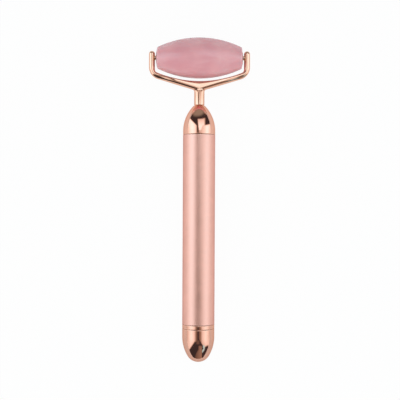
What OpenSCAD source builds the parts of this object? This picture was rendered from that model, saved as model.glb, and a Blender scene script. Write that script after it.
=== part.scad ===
// Vibrating facial roller: a barrel of stone turns in a forked head, on a slim tube
// that holds one AA cell and a vibration motor. The domed end cap screws on and is the switch.
// Everything is drawn standing on the tip of the end cap, z up along the handle, and is then
// laid down so that the part rests on its stone and its cap, handle along +Y, stone along X.

/* [Handle tube] */
// Outside diameter of the handle, shared by tube, nose, collar and end cap
handle_d = 16.5; // [16.3:0.1:18]
// Wall of the tube
tube_wall = 0.45; // [0.35:0.05:0.55]
// Chamfer on every edge that meets a seam
edge_break = 0.15; // [0.05:0.05:0.25]

/* [End cap] */
// Length of the end cap, from its tip to the seam
cap_len = 17.2; // [16:0.1:20.5]
// Straight length of the cap below the seam
cap_band = 4.1; // [3:0.1:5.5]
// Radius of the rounded tip
cap_tip_r = 6.4; // [5:0.1:7.4]
// Length of the threaded neck that enters the collar
neck_len = 5.5; // [4.5:0.1:7]
// Wall of the threaded neck
neck_wall = 1.05; // [0.9:0.05:1.4]
// Thickness of metal under the spring seat, at the tip
cap_floor = 12.2; // [9:0.1:12.5]
// Section of the sealing ring
oring_d = 0.54; // [0.4:0.02:0.7]
// Height of the sealing ring's groove above the seam
groove_up = 0.3; // [0.2:0.1:1]

/* [Collar] */
// Length of the collar that shows between the cap and the tube
collar_len = 2.1; // [1.6:0.1:4]
// Length of the collar's sleeve inside the tube
collar_grip = 4.2; // [3.5:0.1:6]

/* [Nose] */
// Length of the nose, from the tube to the stem
nose_len = 14.8; // [13:0.1:18]
// Straight length of the nose before it curves in
nose_band = 1.9; // [1:0.1:3]
// Width of the flat lip round the stem
nose_lip = 0.1; // [0.05:0.05:0.4]
// Length of the nose's sleeve inside the tube
nose_grip = 8.4; // [6:0.1:11]
// Wall of that sleeve
nose_wall = 1.2; // [0.8:0.1:1.6]
// Depth of the socket that the stem stands in
stem_socket = 6.2; // [5:0.1:7]
// Thickness of metal that the fork is bolted to
nose_web = 3.5; // [2.5:0.1:4.5]

/* [Fork] */
// Diameter of the stem
stem_d = 5.3; // [4.6:0.1:6]
// Height of the bow's inner edge above the nose
bow_reach = 12.65; // [11.5:0.05:18]
// Radius of the bow's inner edge
bow_r = 56; // [45:1:80]
// Slope of the bow's outer edge, degrees
bow_slope = 16.4; // [12:0.2:20]
// Height of the bow on its centreline, down to where its outer edges meet
bow_h = 5.25; // [5:0.05:6.5]
// Depth of the bow at the stem, front to back
bow_depth = 5.4; // [5.4:0.1:7]
// How square the bow's section is at the stem, where 2 is an ellipse
bow_square = 2.8; // [2:0.1:4]
// Share of each half of the bow in which it swells from the corner's section to its own
bow_swell = 0.45; // [0.3:0.05:1]
// How far the bow's ridge leans down to the stem, as a share of half its height
bow_lean = 0.35; // [0:0.05:0.4]
// How far that ridge leans up to the stone at the corners
corner_lean = 0.2; // [0:0.05:0.3]
// Diameter of the two arms
arm_d = 3.05; // [2.8:0.05:3.6]
// Length of the arms past the stone's axis
arm_tip = 3.55; // [2.5:0.05:5]
// Radius inside the corner between bow and arm
corner_in_r = 1.8; // [1:0.1:3]
// Radius outside the corner between bow and arm
corner_out_r = 6.4; // [5:0.1:7.5]
// Radius of the fillet where the stem meets the bow
stem_fillet = 0.9; // [0.5:0.1:1.2]
// Diameter of the screwed end of the stem
bolt_d = 4; // [3:0.5:4]
// Length of the screwed end that stands out past the nut
bolt_past = 1.1; // [0.5:0.1:2]
// Height of the nut
nut_h = 3.2; // [2.2:0.1:3.4]
// Width of the nut across its flats
nut_af = 7; // [5.5:0.5:8]
// Diameter of the washer
washer_d = 9; // [8:0.5:11]
// Thickness of the washer
washer_t = 0.8; // [0.5:0.1:1.2]

/* [Stone] */
// Length of the stone
stone_len = 44.8; // [38:0.2:52]
// Greatest diameter of the stone
stone_d = 20.9; // [18:0.1:24]
// Diameter of the stone at its ends
stone_end_d = 10.2; // [9.5:0.1:13]
// Height of the slight dome on each end
stone_dome = 0.7; // [0.2:0.05:0.9]
// Rounding between the barrel and the ends
stone_edge_r = 0.6; // [0.4:0.1:1.2]
// Gap between the stone and the bow
under_gap = 1.45; // [0.8:0.05:2]
// Gap between each end of the stone and its arm
side_gap = 0.45; // [0.4:0.05:1]

/* [Pivots] */
// Diameter of the pivot pins
pin_d = 2.2; // [1.6:0.1:2.4]
// Depth of the pin's hole in the arm
pin_grip = 2.1; // [1.6:0.1:2.3]
// Outside diameter of the bushings glued into the stone
bush_d = 4.2; // [3.6:0.1:5]
// Length of the bushings
bush_len = 5.6; // [4:0.1:8]
// Depth of the bushings' faces below the middle of the stone's ends
bush_sink = 0.3; // [0.2:0.1:1]

/* [Battery] */
// Diameter of the AA cell
cell_d = 14.2; // [13.7:0.1:14.4]
// Length of the AA cell with its positive nub
cell_len = 50.2; // [49.2:0.1:50.5]
// Diameter of the positive nub
nub_d = 5.4; // [4.8:0.1:5.5]
// Height of the positive nub
nub_h = 1.1; // [1:0.1:1.6]
// Rounding of the cell's two rims
cell_rim = 0.5; // [0.3:0.1:1]
// Gap round the cell in its sleeve
cell_gap = 0.25; // [0.2:0.05:0.3]
// Height of the contact holder
holder_h = 4.7; // [3.5:0.1:6]
// Diameter of the positive contact
plate_d = 8; // [7:0.1:9]
// Thickness of the positive contact
plate_t = 0.4; // [0.3:0.05:0.5]
// Width of the spring strip that touches the tube
clip_w = 3; // [2:0.1:4]
// Thickness of the strip
clip_t = 0.3; // [0.2:0.05:0.4]

/* [Cap spring] */
// Diameter of the spring wire
wire_d = 0.7; // [0.5:0.05:0.9]
// Mean diameter of the coil at the seat
coil_d = 10; // [9:0.1:10.8]
// Mean diameter of the coil at the cell
coil_top_d = 5; // [4:0.1:7]
// Whole turns between the end legs
coil_turns = 5; // [4:1:6]
// Thickness of the spring seat's flange
seat_t = 1.2; // [0.8:0.1:1.6]
// Height of the post that centres the coil
post_h = 2.2; // [1.5:0.1:3]

/* [Motor] */
// Diameter of the motor can
motor_d = 12; // [10:0.1:12.4]
// Height of the can across its two flats
motor_flat = 10; // [8:0.1:10.4]
// Length of the metal can
motor_len = 14; // [12:0.1:16]
// Thickness of the plastic end bell
bell_t = 2.4; // [1.8:0.1:3]
// Diameter of the front boss
boss_d = 4; // [3:0.1:5]
// Diameter of the shaft
shaft_d = 1; // [0.8:0.1:1.5]
// Radius of the eccentric weight
weight_r = 5; // [4:0.1:5.6]
// Length of the eccentric weight
weight_len = 4.4; // [3:0.1:5]
// Thickness of the carrier's floor in front of the motor
carrier_floor = 1.2; // [0.8:0.1:2]
// Diameter of the leads over their insulation
lead_d = 1.1; // [0.8:0.1:1.3]
// Room for the leads between the contact holder and the motor's tabs
lead_room = 4.1; // [3.6:0.1:20]
// Slack of each lead, as the depth of its bow
lead_slack = 0.4; // [0.1:0.1:0.6]
// Length of the motor's two tabs
tab_len = 2.2; // [1.5:0.1:3]
// Width of the tabs
tab_w = 1.6; // [1.2:0.1:2]
// Thickness of the tabs
tab_t = 0.4; // [0.3:0.05:0.6]

/* [Hidden] */
$fn = 96;

// Gaps between pieces
seam_gap = 0.06;     // two polished faces that meet at a seam
press_gap = 0.01;    // a piece pressed or glued into its seat
push_gap = 0.02;     // a sleeve pushed into the tube
run_gap = 0.04;      // a shaft or a thread that turns in its hole
seat_gap = 0.1;      // sheet metal, springs and wires against what they touch
loose_gap = 0.4;     // pieces that pass each other without touching

// Radii across the handle, from the outside in
handle_r = handle_d / 2;
tube_in_r = handle_r - tube_wall;
sleeve_r = tube_in_r - push_gap;
bore_r = cell_d / 2 + cell_gap;
neck_r = bore_r - run_gap;
neck_in_r = neck_r - neck_wall;
stem_r = stem_d / 2;
bolt_r = bolt_d / 2;
arm_r = arm_d / 2;
pin_r = pin_d / 2;
stone_r = stone_d / 2;
oring_r = oring_d / 2;

// Heights along the handle, from the tip of the end cap up. Each piece stands on the last,
// so the tube is as long as what it holds.
seat_z = cap_floor;
spring_z = seat_z + seat_t;
collar_z = cap_len;
tube_z = collar_z + collar_len;
cell_z = max(collar_z + neck_len, tube_z + collar_grip) + loose_gap;
cell_top = cell_z + cell_len;
plate_z = cell_top + seat_gap;
holder_z = plate_z - plate_t;
holder_top = holder_z + holder_h;
tab_z = holder_top + lead_room;
bell_z = tab_z + tab_len;
can_z = bell_z + bell_t;
can_top = can_z + motor_len;
weight_z = can_top + carrier_floor + loose_gap;
weight_room = weight_len + 2 * loose_gap;
carrier_top = can_top + carrier_floor + weight_room;
tube_top = carrier_top + loose_gap + nose_grip;
tube_len = tube_top - tube_z;
nose_top = tube_top + nose_len;

// Stem and bolt inside the nose
shoulder_z = nose_top - stem_socket;
pocket_z = shoulder_z - nose_web;
pocket_r = sleeve_r - nose_wall;
bolt_len = nose_web + washer_t + nut_h + bolt_past;

// Head
bow_z = nose_top + bow_reach;
apex_z = bow_z - bow_h;
axis_z = bow_z + under_gap + stone_r;
total_len = axis_z + stone_r;
stone_half = stone_len / 2;
arm_x = stone_half + side_gap + arm_r;
tip_z = axis_z + arm_tip;
bush_end = stone_half - bush_sink;

// Radius of an arc that starts along the axis and moves in by d over a length l
function arc_radius(d, l) = (d * d + l * l) / (2 * d);

// Point at an angle on a circle
function on_circle(c, r, a) = [c[0] + r * cos(a), c[1] + r * sin(a)];
function unit(v) = v / norm(v);
function angle_of(v) = atan2(v[1], v[0]);
function mix(a, b, t) = a * (1 - t) + b * t;
function ease(t) = t * t * (3 - 2 * t);

// Puts the standing drawing on its side, with the stone's lowest point at z = 0
module lay() {
    translate([0, -total_len / 2, stone_r])
        rotate([-90, 0, 0])
            children();
}

module ring(r, r_in, z0, z1) {
    translate([0, 0, z0])
        difference() {
            cylinder(r = r, h = z1 - z0);
            translate([0, 0, -1])
                cylinder(r = r_in, h = z1 - z0 + 2);
        }
}

// A rod with both edges broken, as a solid that other pieces are cut from
module broken_rod(r, z0, z1, low = edge_break, high = edge_break) {
    rotate_extrude()
        polygon([[0, z0], [r - low, z0], [r, z0 + low], [r, z1 - high], [r - high, z1], [0, z1]]);
}

// A swept tube: rings of points round a path, with the side that each ring starts from
function path_dirs(path) = [for (i = [0 : len(path) - 1])
    unit(path[min(i + 1, len(path) - 1)] - path[max(i - 1, 0)])];
function tube_rings(path, sides_of, r, n) = let (dirs = path_dirs(path))
    [for (i = [0 : len(path) - 1]) let (u = unit(sides_of[i] - (sides_of[i] * dirs[i]) * dirs[i]),
        v = cross(dirs[i], u))
        [for (k = [0 : n - 1]) path[i] + r * (cos(360 * k / n) * u + sin(360 * k / n) * v)]];

module skin(rings) {
    n = len(rings[0]);
    last = len(rings) - 1;
    points = [for (one = rings) each one];
    walls = [for (i = [0 : last - 1]) for (k = [0 : n - 1]) let (a = i * n + k,
        b = i * n + (k + 1) % n) each [[a, a + n, b], [b, a + n, b + n]]];
    ends = [for (k = [1 : n - 2]) each [[0, k, k + 1],
        [last * n, last * n + k + 1, last * n + k]]];
    polyhedron(points, concat(walls, ends), convexity = 8);
}

module handle_tube() {
    color([0.91, 0.73, 0.67])
        lay()
            difference() {
                broken_rod(handle_r, tube_z + seam_gap, tube_top - seam_gap);
                translate([0, 0, tube_z])
                    cylinder(r = tube_in_r, h = tube_len);
            }
}

// Outline of the nose: a band, then one arc that runs in to the stem
module nose_outline() {
    mouth_r = stem_r + nose_lip;
    curve_len = nose_len - nose_band;
    curve_r = arc_radius(handle_r - mouth_r, curve_len);
    band_top = tube_top + nose_band;
    polygon([[0, tube_top], [handle_r - edge_break, tube_top], [handle_r, tube_top + edge_break],
        [handle_r, band_top], [0, band_top]]);
    intersection() {
        translate([handle_r - curve_r, band_top])
            circle(r = curve_r, $fn = 180);
        translate([0, band_top - nose_band / 2])
            square([handle_r + 1, curve_len + nose_band / 2]);
    }
}

module nose_cap() {
    color([0.93, 0.71, 0.60])
        lay()
            difference() {
                union() {
                    rotate_extrude()
                        nose_outline();
                    translate([0, 0, tube_top - nose_grip])
                        cylinder(r = sleeve_r, h = nose_grip + nose_band / 2);
                }
                translate([0, 0, tube_top - nose_grip - 1])
                    cylinder(r = pocket_r, h = pocket_z - tube_top + nose_grip + 1);
                translate([0, 0, pocket_z - 1])
                    cylinder(r = bolt_r + run_gap, h = nose_web + 2);
                translate([0, 0, shoulder_z])
                    cylinder(r = stem_r + press_gap, h = nose_top - shoulder_z + 1);
            }
}

// Inner and outer edges of one half of the fork, from the arm's tip to the middle of the bow.
// Each is an arm, a corner and a half of the bow, and a ring joins each pair of points.
in_x = arm_x - arm_r;
out_x = arm_x + arm_r;
bow_centre = [0, bow_z + bow_r];
in_centre = [in_x - corner_in_r,
    bow_centre[1] - sqrt(pow(bow_r - corner_in_r, 2) - pow(in_x - corner_in_r, 2))];
in_angle = angle_of(in_centre - bow_centre);
out_centre = [out_x - corner_out_r, apex_z + tan(bow_slope) * (out_x - corner_out_r)
    + corner_out_r / cos(bow_slope)];
out_angle = bow_slope - 90;
corner_steps = 9;
bow_steps = 9;
tip_steps = 4;
tip_angle = 78;
fork_sides = 20;
corner_depth = 1.1 * arm_r;

// One ring round a pair of points. Its shape goes from an ellipse, at 2, to a rounded box, and
// its ridge leans towards the outer point by a share of the half width.
function fork_section(inner, outer, depth, scale = 1, square = 2, lean = 0) =
    let (mid = (inner + outer) / 2, half = scale * (outer - inner) / 2)
    [for (k = [0 : fork_sides - 1]) let (a = 360 * k / fork_sides,
        r = pow(pow(abs(cos(a)), square) + pow(abs(sin(a)), square), -1 / square),
        across = r * cos(a) + lean * (1 - pow(r * cos(a), 2)))
        [mid[0] + across * half[0], -r * sin(a) * depth * scale, mid[1] + across * half[1]]];

// The arm's end is a dome, drawn as rings that shrink towards the tip
function tip_sections() = [for (i = [0 : tip_steps]) let (a = tip_angle * (1 - i / tip_steps),
    z = tip_z - arm_r * (1 - sin(a)))
    fork_section([in_x, z], [out_x, z], arm_r, cos(a))];
function corner_sections() = [for (i = [0 : corner_steps]) let (t = i / corner_steps)
    fork_section(on_circle(in_centre, corner_in_r, in_angle * t),
        on_circle(out_centre, corner_out_r, out_angle * t), mix(arm_r, corner_depth, t),
        lean = -corner_lean * t)];
function bow_sections() = let (corner = on_circle(out_centre, corner_out_r, out_angle))
    [for (i = [1 : bow_steps]) let (t = i / bow_steps, swell = ease(min(1, t / bow_swell)))
        fork_section(on_circle(bow_centre, bow_r, mix(in_angle, -90, t)),
            mix(corner, [0, apex_z], t), mix(corner_depth, bow_depth / 2, swell),
            square = mix(2, bow_square, swell),
            lean = mix(-corner_lean, bow_lean, max(0, 2 * t - 1)))];
function mirrored(section) = [for (p = section) [-p[0], p[1], p[2]]];

module fork_loft() {
    half = concat(tip_sections(), corner_sections(), bow_sections());
    other = [for (i = [len(half) - 2 : -1 : 0]) mirrored(half[i])];
    skin(concat(half, other));
}

// The stem is turned round, and widens into the bow along a fillet. In front and behind it
// stays as deep as it is round, so that it runs flush into the top of the bow.
module stem_outline() {
    stem_top = apex_z + bow_h / 2;
    fillet_z = apex_z + tan(bow_slope) * stem_r - stem_fillet;
    root_r = stem_r + stem_fillet / 3;
    difference() {
        translate([0, shoulder_z])
            square([root_r, stem_top - shoulder_z]);
        translate([stem_r + stem_fillet, fillet_z])
            circle(r = stem_fillet);
        translate([stem_r, shoulder_z - 1])
            square([stem_r, fillet_z - shoulder_z + 1]);
    }
}

module stem() {
    reach = stem_r + stem_fillet;
    flush_r = stem_r + press_gap;
    intersection() {
        rotate_extrude()
            stem_outline();
        translate([-reach, -flush_r, shoulder_z - 1])
            cube([2 * reach, 2 * flush_r, bow_z - shoulder_z + 1]);
    }
}

module fork() {
    color([0.96, 0.86, 0.74])
        lay()
            difference() {
                union() {
                    fork_loft();
                    stem();
                    translate([0, 0, shoulder_z - bolt_len])
                        cylinder(r = bolt_r, h = bolt_len + 1);
                }
                for (side = [-1, 1])
                    translate([side * (in_x + pin_grip / 2 - 0.5), 0, axis_z])
                        rotate([0, 90, 0])
                            cylinder(r = pin_r + press_gap, h = pin_grip + 1, center = true);
            }
}

module fork_washer() {
    color("gainsboro")
        lay()
            ring(washer_d / 2, bolt_r + run_gap, pocket_z - washer_t, pocket_z);
}

module fork_nut() {
    top = pocket_z - washer_t;
    color("silver")
        lay()
            translate([0, 0, top - nut_h])
                difference() {
                    cylinder(d = nut_af / cos(30), h = nut_h, $fn = 6);
                    translate([0, 0, -1])
                        cylinder(r = bolt_r + run_gap, h = nut_h + 2);
                }
}

// One pin, on the +X side: it is pressed into the arm and reaches through the bushing
module pivot_pin() {
    outer = in_x + pin_grip - press_gap;
    inner = bush_end - bush_len + loose_gap;
    color("peru")
        lay()
            translate([inner, 0, axis_z])
                rotate([0, 90, 0])
                    broken_rod(pin_r, 0, outer - inner);
}

module left_pivot_pin() {
    mirror([1, 0, 0])
        pivot_pin();
}

module right_pivot_pin() {
    pivot_pin();
}

module bushing() {
    color("goldenrod")
        lay()
            translate([bush_end - bush_len, 0, axis_z])
                rotate([0, 90, 0])
                    ring(bush_d / 2, pin_r + run_gap, 0, bush_len);
}

module left_bushing() {
    mirror([1, 0, 0])
        bushing();
}

module right_bushing() {
    bushing();
}

// Upper half of the stone's outline. The barrel is one arc, each end is a slight dome,
// and a small round joins them, tangent to both.
module stone_outline() {
    barrel_r = arc_radius(stone_r - stone_end_d / 2, stone_half);
    dome_r = arc_radius(stone_dome, stone_end_d / 2);
    barrel_c = [0, stone_r - barrel_r];
    dome_c = [stone_half - dome_r, 0];
    to_barrel = barrel_r - stone_edge_r;
    to_dome = dome_r - stone_edge_r;
    span = dome_c - barrel_c;
    along = (to_barrel * to_barrel - to_dome * to_dome + span * span) / (2 * norm(span));
    across = sqrt(to_barrel * to_barrel - along * along);
    u = unit(span);
    edge_c = barrel_c + along * u + across * [u[1], -u[0]];
    a = angle_of(edge_c - barrel_c);
    b = angle_of(edge_c - dome_c);
    reach = 3 * stone_edge_r;
    for (side = [0, 1])
        mirror([side, 0]) {
            difference() {
                intersection() {
                    translate(barrel_c)
                        circle(r = barrel_r, $fn = 360);
                    translate(dome_c)
                        circle(r = dome_r, $fn = 360);
                    square([stone_half + 1, stone_r + 1]);
                }
                polygon([edge_c, on_circle(edge_c, reach, a), on_circle(edge_c, reach, (a + b) / 2),
                    on_circle(edge_c, reach, b)]);
            }
            intersection() {
                translate(edge_c)
                    circle(r = stone_edge_r);
                polygon([edge_c, on_circle(edge_c, reach, a), on_circle(edge_c, reach, (a + b) / 2),
                    on_circle(edge_c, reach, b)]);
            }
        }
}

module roller_stone() {
    seat = bush_end - bush_len;
    color([0.85, 0.63, 0.65])
        lay()
            translate([0, 0, axis_z])
                rotate([0, 90, 0])
                    difference() {
                        rotate_extrude()
                            mirror([1, 0])
                                rotate(90)
                                    stone_outline();
                        for (side = [0, 1])
                            mirror([0, 0, side])
                                translate([0, 0, seat - press_gap])
                                    cylinder(r = bush_d / 2 + press_gap, h = bush_len + 2);
                    }
}

module threaded_collar() {
    color([0.92, 0.70, 0.60])
        lay()
            difference() {
                union() {
                    broken_rod(handle_r, collar_z + seam_gap, tube_z);
                    translate([0, 0, tube_z - collar_len / 2])
                        cylinder(r = sleeve_r, h = collar_grip + collar_len / 2);
                }
                translate([0, 0, collar_z])
                    cylinder(r = bore_r, h = collar_len + collar_grip + 1);
            }
}

module battery_sleeve() {
    color("whitesmoke")
        lay()
            ring(sleeve_r, bore_r, tube_z + collar_grip + seat_gap, holder_z - seat_gap);
}

// The cell stands on its negative end, with rounded rims and a nub on top
module aa_cell() {
    body_top = cell_top - nub_h;
    r = cell_d / 2;
    color([0.30, 0.33, 0.38])
        lay()
            rotate_extrude()
                union() {
                    translate([0, cell_z + cell_rim])
                        square([r, body_top - cell_z - 2 * cell_rim]);
                    translate([0, cell_z])
                        square([r - cell_rim, body_top - cell_z]);
                    for (z = [cell_z + cell_rim, body_top - cell_rim])
                        translate([r - cell_rim, z])
                            circle(r = cell_rim);
                    translate([0, cell_z])
                        square([nub_d / 2, cell_len]);
                }
}

// The strip bears on the tube's wall, and its foot folds in as far as the negative lead.
// Each lead goes straight up to its tab, with a little slack.
clip_x = sqrt(pow(tube_in_r, 2) - pow(clip_w / 2, 2)) - push_gap;
tab_x = motor_d / 4;
clip_foot = clip_x - tab_x + lead_d;
lead_hole_r = lead_d / 2 + lead_slack;
lead_steps = 10;
lead_sides = 10;

module contact_holder() {
    color("ivory")
        lay()
            difference() {
                translate([0, 0, holder_z])
                    cylinder(r = sleeve_r, h = holder_h);
                translate([0, 0, holder_z - 1])
                    cylinder(r = plate_d / 2 + push_gap, h = plate_z + plate_t - holder_z + 1);
                translate([-tab_x, 0, holder_z])
                    cylinder(r = lead_hole_r, h = holder_h + 1);
                translate([clip_x - clip_t - seat_gap, -clip_w / 2 - seat_gap, holder_z - 1])
                    cube([handle_r, clip_w + 2 * seat_gap, holder_h + 2]);
            }
}

module contact_plate() {
    color("gold")
        lay()
            translate([0, 0, plate_z])
                cylinder(d = plate_d, h = plate_t);
}

// Spring strip that runs up the holder's side against the tube, then folds in over its top
module ground_clip() {
    color("darkgoldenrod")
        lay()
            union() {
                translate([clip_x - clip_t, -clip_w / 2, holder_z + loose_gap])
                    cube([clip_t, clip_w, holder_h + clip_t - loose_gap]);
                translate([clip_x - clip_foot, -clip_w / 2, holder_top])
                    cube([clip_foot, clip_w, clip_t]);
            }
}

// A lead from a height up to its tab, bowed between the holder and the tab
module lead(x, z0) {
    z1 = tab_z - push_gap;
    bow_from = holder_top + clip_t + lead_d / 2;
    bow_to = z1 - lead_d / 2;
    path = concat([[x, 0, z0]],
        [for (i = [0 : lead_steps]) let (t = i / lead_steps)
            [x, lead_slack * (1 - cos(360 * t)) / 2, mix(bow_from, bow_to, t)]],
        [[x, 0, z1]]);
    skin(tube_rings(path, [for (p = path) [1, 0, 0]], lead_d / 2, lead_sides));
}

module positive_lead() {
    color("crimson")
        lay()
            lead(-tab_x, plate_z + plate_t + push_gap);
}

module negative_lead() {
    color([0.15, 0.15, 0.16])
        lay()
            lead(tab_x, holder_top + clip_t + push_gap);
}

// Motor outline: a circle with two flats
module motor_outline(gap = 0) {
    intersection() {
        circle(d = motor_d + 2 * gap);
        square([motor_d + 2, motor_flat + 2 * gap], center = true);
    }
}

module motor_carrier() {
    color("white")
        lay()
            difference() {
                translate([0, 0, bell_z])
                    cylinder(r = sleeve_r, h = carrier_top - bell_z);
                translate([0, 0, bell_z - 1])
                    linear_extrude(can_top - bell_z + 1)
                        motor_outline(push_gap);
                translate([0, 0, can_top - 1])
                    cylinder(d = boss_d + 2 * push_gap, h = carrier_floor + 2);
                translate([0, 0, can_top + carrier_floor])
                    cylinder(r = weight_r + 2 * loose_gap, h = weight_room + 1);
            }
}

module motor_can() {
    color("silver")
        lay()
            difference() {
                union() {
                    translate([0, 0, can_z])
                        linear_extrude(motor_len)
                            motor_outline();
                    translate([0, 0, can_top - 1])
                        cylinder(d = boss_d, h = 1 + carrier_floor * 0.7);
                }
                translate([0, 0, can_z - 1])
                    cylinder(d = shaft_d + 2 * run_gap, h = motor_len + carrier_floor + 2);
            }
}

module motor_end_bell() {
    socket = bell_t / 2;
    color([0.93, 0.92, 0.86])
        lay()
            difference() {
                translate([0, 0, bell_z])
                    linear_extrude(bell_t)
                        motor_outline();
                translate([0, 0, can_z - socket])
                    cylinder(d = shaft_d + 2 * run_gap, h = socket + 1);
            }
}

module motor_terminals() {
    color("peru")
        lay()
            for (x = [-tab_x, tab_x])
                translate([x - tab_w / 2, -tab_t / 2, tab_z])
                    cube([tab_w, tab_t, tab_len]);
}

module motor_shaft() {
    low = can_z - bell_t / 2 + seat_gap;
    color("lightgray")
        lay()
            translate([0, 0, low])
                cylinder(d = shaft_d, h = weight_z + weight_len - low);
}

// Half a disc on the shaft, which hangs down while the part lies at rest
module eccentric_weight() {
    hub_r = shaft_d + 0.5;
    color("dimgray")
        lay()
            translate([0, 0, weight_z])
                difference() {
                    union() {
                        intersection() {
                            cylinder(r = weight_r, h = weight_len);
                            translate([-weight_r - 1, 0, -1])
                                cube([2 * weight_r + 2, weight_r + 1, weight_len + 2]);
                        }
                        cylinder(r = hub_r, h = weight_len);
                    }
                    translate([0, 0, -1])
                        cylinder(r = shaft_d / 2 + press_gap, h = weight_len + 2);
                }
}

// Outline of the cap: a tip, a side that is tangent to it, and a straight band. The side
// starts on the line through both arcs' centres, where the tip's circle touches it from inside.
module cap_outline() {
    band_z = cap_len - cap_band;
    side_r = (handle_r * handle_r + band_z * band_z - 2 * band_z * cap_tip_r)
        / (2 * (handle_r - cap_tip_r));
    side_c = [handle_r - side_r, band_z];
    tip_c = [0, cap_tip_r];
    reach = handle_r + 1;
    slope = (tip_c[1] - side_c[1]) / (tip_c[0] - side_c[0]);
    meet = [reach, cap_tip_r + slope * reach];
    polygon([[0, band_z], [handle_r, band_z], [handle_r, cap_len - edge_break],
        [handle_r - edge_break, cap_len], [0, cap_len]]);
    intersection() {
        translate(side_c)
            circle(r = side_r, $fn = 180);
        polygon([tip_c, meet, [reach, band_z + cap_band / 2], [0, band_z + cap_band / 2]]);
    }
    intersection() {
        translate(tip_c)
            circle(r = cap_tip_r);
        square([reach, 2 * cap_tip_r]);
    }
}

groove_z = cap_len + groove_up;
groove_h = oring_d + 2 * press_gap;

module end_cap() {
    color([0.92, 0.70, 0.60])
        lay()
            difference() {
                union() {
                    rotate_extrude()
                        cap_outline();
                    translate([0, 0, cap_len - cap_band])
                        cylinder(r = neck_r, h = cap_band + neck_len);
                }
                translate([0, 0, cap_floor])
                    cylinder(r = neck_in_r, h = cap_len + neck_len);
                ring(handle_r, neck_r - oring_d, groove_z, groove_z + groove_h);
            }
}

module o_ring() {
    color([0.12, 0.12, 0.12])
        lay()
            translate([0, 0, groove_z + groove_h / 2])
                rotate_extrude()
                    translate([neck_r - oring_r, 0])
                        circle(r = oring_r - press_gap);
}

// The cap's spring is one wire: a leg on the seat, a quarter bend, the coil, a bend and a leg
coil_step = 45;
bend = wire_d;
spring_top = cell_z - seat_gap;
coil_low = spring_z + seat_gap + wire_d + bend;
coil_high = spring_top - wire_d - bend;
function leg(r, z, up) = [for (h = [up > 0 ? 0 : wire_d, up > 0 ? wire_d : 0])
    [r, 0, z + h]];
function quarter(r, z, a, from) = [for (i = [1 : 2]) let (b = 30 * i, s = bend * (1 - cos(b)),
    h = bend * sin(b)) from > 0 ? [r * cos(a) - s * sin(a), r * sin(a) + s * cos(a), z + h]
    : [r * cos(a) + (bend - bend * sin(b)) * sin(a), r * sin(a) - (bend - bend * sin(b)) * cos(a),
        z - bend * cos(b)]];
coil_turn = 360 * coil_turns;
function coil_r(t) = mix(coil_d, coil_top_d, t) / 2;
function coil_points() = [for (a = [0 : coil_step : coil_turn]) let (t = a / coil_turn, r = coil_r(t),
    lag = atan(bend / r) * (1 - 2 * t))
    [r * cos(a + lag), r * sin(a + lag), mix(coil_low, coil_high, t)]];
spring_path = concat([[coil_d / 2, 0, spring_z + seat_gap], [coil_d / 2, 0, coil_low - bend]],
    quarter(coil_d / 2, coil_low - bend, 0, 1), coil_points(),
    quarter(coil_top_d / 2, coil_high + bend, coil_turn, -1),
    [[coil_top_d / 2, 0, coil_high + bend], [coil_top_d / 2, 0, spring_top]]);
spring_sides = [for (p = spring_path) unit([p[0], p[1], 0])];
wire_sides = 6;

// Least distance between stretches of wire five points or more apart, less the wire itself
apart = 5;
last_point = len(spring_path) - 1;
spring_gap = min([for (i = [0 : last_point - apart]) for (j = [i + apart : last_point])
    norm(spring_path[i] - spring_path[j])]) - wire_d;
echo(least_gap_in_spring_mm = spring_gap);

module cap_spring() {
    color("silver")
        lay()
            skin(tube_rings(spring_path, spring_sides, wire_d / 2, wire_sides));
}

// The seat's post centres the coil, and clears it where the coil has drawn in at the post's top
module spring_seat() {
    post_share = (post_h + wire_d / 2 - (coil_low - spring_z)) / (coil_high - coil_low);
    post_r = coil_r(max(0, post_share)) * cos(coil_step / 2) - wire_d / 2 - loose_gap / 2;
    color("tan")
        lay()
            union() {
                translate([0, 0, seat_z])
                    cylinder(r = neck_in_r - push_gap, h = seat_t);
                translate([0, 0, seat_z])
                    cylinder(r = post_r, h = seat_t + post_h);
            }
}

handle_tube();
nose_cap();
fork();
fork_washer();
fork_nut();
left_pivot_pin();
right_pivot_pin();
threaded_collar();
battery_sleeve();
contact_holder();
contact_plate();
ground_clip();
positive_lead();
negative_lead();
motor_carrier();
motor_can();
motor_end_bell();
motor_terminals();
roller_stone();
left_bushing();
right_bushing();
motor_shaft();
eccentric_weight();
aa_cell();
cap_spring();
end_cap();
spring_seat();
o_ring();
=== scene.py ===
"""A vibrating facial roller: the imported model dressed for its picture.

Lengths are in millimetres in the maker's standing drawing, z up from the tip of the end cap
and front towards -y. lay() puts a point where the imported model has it, in metres.
"""

import math

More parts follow.
